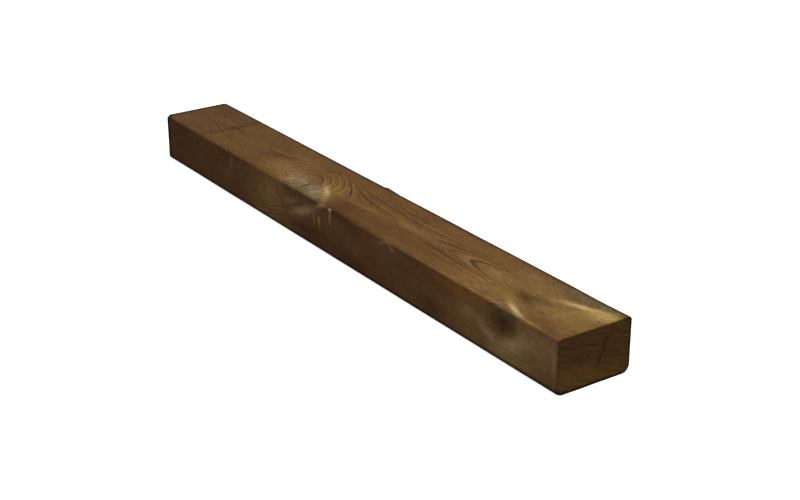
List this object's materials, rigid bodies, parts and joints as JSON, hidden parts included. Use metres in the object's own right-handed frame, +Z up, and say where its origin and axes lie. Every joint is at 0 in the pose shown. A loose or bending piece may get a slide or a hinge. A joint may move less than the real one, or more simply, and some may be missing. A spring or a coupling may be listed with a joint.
{
  "type": "treated softwood timber",
  "caption": "Straight length of brown-treated softwood lumber, rectangular section, eased long edges, square-sawn ends, knots and fine drying checks.",
  "frame": {"origin": "centre of the bottom face, on the surface that the timber lies on", "axes": "+X along the grain towards the near end, +Y from the front edge to the back edge, +Z up out of the top face"},
  "size_m": [0.67, 0.075, 0.05],
  "materials": {
    "treated_softwood": "planed, brown pressure-treated, matt"
  },
  "bodies": {
    "root": {"timber": "treated_softwood"}
  },
  "joints": []
}
